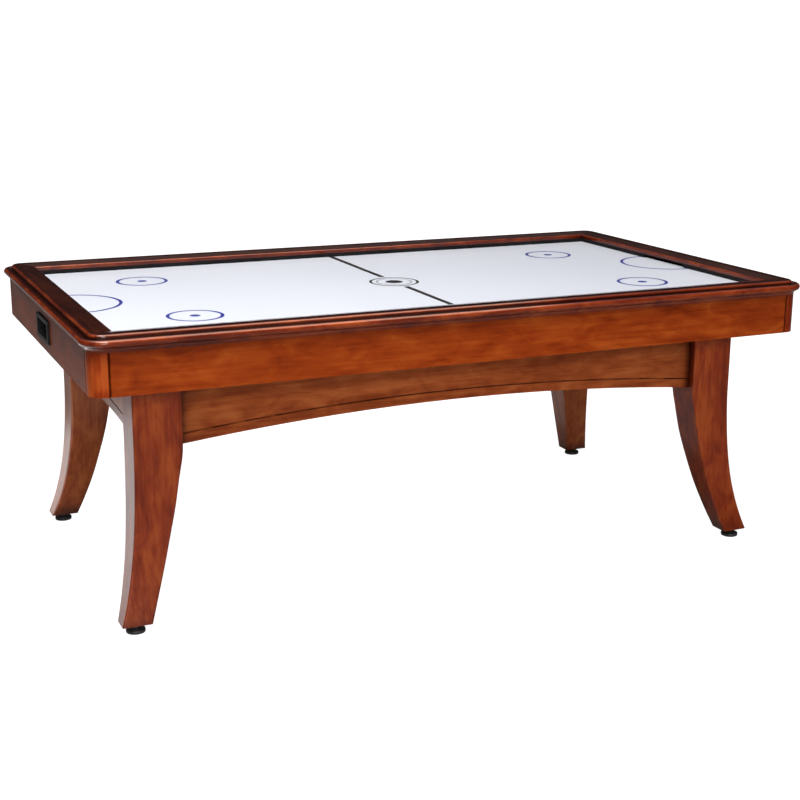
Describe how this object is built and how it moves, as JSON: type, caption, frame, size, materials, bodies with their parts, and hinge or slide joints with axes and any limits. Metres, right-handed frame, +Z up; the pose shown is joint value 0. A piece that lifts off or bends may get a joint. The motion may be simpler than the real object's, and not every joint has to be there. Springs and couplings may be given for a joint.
{
  "type": "air hockey table",
  "caption": "Furniture-style air hockey table with a moulded wooden rim, white perforated playfield, curved legs and arched stretchers.",
  "frame": {"origin": "on the floor under the middle of the table", "axes": "+X along the length, +Z up, -Y is the long side seen in the picture"},
  "size_m": [2.139, 1.229, 0.8185],
  "materials": {
    "cherry_panel": "satin",
    "cherry_solid": "satin",
    "cherry_rail": "gloss",
    "play_surface": "gloss",
    "black_laminate": "gloss",
    "pine": "matte",
    "plywood": "matte",
    "black_plastic": "matte",
    "rocker_red": "gloss",
    "lead_rubber": "matte",
    "steel": "satin",
    "motor_metal": "satin",
    "foot_plastic": "matte"
  },
  "bodies": {
    "table": {"apron_front": "cherry_panel", "apron_back": "cherry_panel", "apron_left": "cherry_panel", "apron_right": "cherry_panel", "corner_post_front_left": "cherry_solid", "corner_post_front_right": "cherry_solid", "corner_post_back_left": "cherry_solid", "corner_post_back_right": "cherry_solid", "leg_front_left": "cherry_solid", "leg_front_right": "cherry_solid", "leg_back_left": "cherry_solid", "leg_back_right": "cherry_solid", "stretcher_front": "cherry_solid", "stretcher_back": "cherry_solid", "stretcher_left": "cherry_solid", "stretcher_right": "cherry_solid", "rail_front": "cherry_rail", "rail_back": "cherry_rail", "rail_left": "cherry_rail", "rail_right": "cherry_rail", "playfield": "play_surface", "liner_front": "black_laminate", "liner_back": "black_laminate", "liner_left": "black_laminate", "liner_right": "black_laminate", "floor_cleats": "pine", "floor_joists": "pine", "leg_beams": "pine", "plenum_frame": "pine", "plenum_floor": "plywood", "goal_box_left": "black_plastic", "goal_box_right": "black_plastic", "puck_return_left": "black_plastic", "puck_return_right": "black_plastic", "blower_housing": "black_plastic", "power_plate": "black_plastic", "switch_body": "black_plastic", "power_inlet": "black_plastic", "lead_saddles": "black_plastic", "motor_lead": "lead_rubber", "frame_brackets": "steel", "leg_bolts": "steel", "bracket_screws": "steel", "blower_screws": "steel", "trim_screws": "steel", "finger_guard": "steel", "motor_bracket": "steel", "leveler_inserts": "steel", "blower_motor": "motor_metal"},
    "fan": {"motor_shaft": "steel", "fan_wheel": "black_plastic"},
    "rocker": {"switch_rocker": "rocker_red"},
    "pad_front_left": {"leveler_pad_front_left": "foot_plastic"},
    "stem_front_left": {"leveler_stem_front_left": "steel"},
    "pad_front_right": {"leveler_pad_front_right": "foot_plastic"},
    "stem_front_right": {"leveler_stem_front_right": "steel"},
    "pad_back_left": {"leveler_pad_back_left": "foot_plastic"},
    "stem_back_left": {"leveler_stem_back_left": "steel"},
    "pad_back_right": {"leveler_pad_back_right": "foot_plastic"},
    "stem_back_right": {"leveler_stem_back_right": "steel"}
  },
  "joints": [
    {"name": "fan_spin", "type": "hinge", "parent": "table", "child": "fan", "pos_m": [0, 0, 0.7], "axis": [0, 0, 1], "continuous": true},
    {"name": "switch_rock", "type": "hinge", "parent": "table", "child": "rocker", "pos_m": [0.576, 0.5975, 0.69], "axis": [1, 0, 0], "range_deg": [0, 16]},
    {"name": "leveler_height_front_left", "type": "slide", "parent": "table", "child": "pad_front_left", "axis": [0, 0, -1], "range_m": [0, 0.012]},
    {"name": "leveler_turn_front_left", "type": "hinge", "parent": "pad_front_left", "child": "stem_front_left", "pos_m": [-0.944, -0.483, 0.02], "axis": [0, 0, -1], "range_deg": [0, 3460]},
    {"name": "leveler_height_front_right", "type": "slide", "parent": "table", "child": "pad_front_right", "axis": [0, 0, -1], "range_m": [0, 0.012]},
    {"name": "leveler_turn_front_right", "type": "hinge", "parent": "pad_front_right", "child": "stem_front_right", "pos_m": [0.944, -0.483, 0.02], "axis": [0, 0, -1], "range_deg": [0, 3460]},
    {"name": "leveler_height_back_left", "type": "slide", "parent": "table", "child": "pad_back_left", "axis": [0, 0, -1], "range_m": [0, 0.012]},
    {"name": "leveler_turn_back_left", "type": "hinge", "parent": "pad_back_left", "child": "stem_back_left", "pos_m": [-0.944, 0.483, 0.02], "axis": [0, 0, -1], "range_deg": [0, 3460]},
    {"name": "leveler_height_back_right", "type": "slide", "parent": "table", "child": "pad_back_right", "axis": [0, 0, -1], "range_m": [0, 0.012]},
    {"name": "leveler_turn_back_right", "type": "hinge", "parent": "pad_back_right", "child": "stem_back_right", "pos_m": [0.944, 0.483, 0.02], "axis": [0, 0, -1], "range_deg": [0, 3460]}
  ],
  "couplings": [
    {"joint": "leveler_turn_front_left", "follows": "leveler_height_front_left", "rad_per_m": 5026.5},
    {"joint": "leveler_turn_front_right", "follows": "leveler_height_front_right", "rad_per_m": 5026.5},
    {"joint": "leveler_turn_back_left", "follows": "leveler_height_back_left", "rad_per_m": 5026.5},
    {"joint": "leveler_turn_back_right", "follows": "leveler_height_back_right", "rad_per_m": 5026.5}
  ]
}
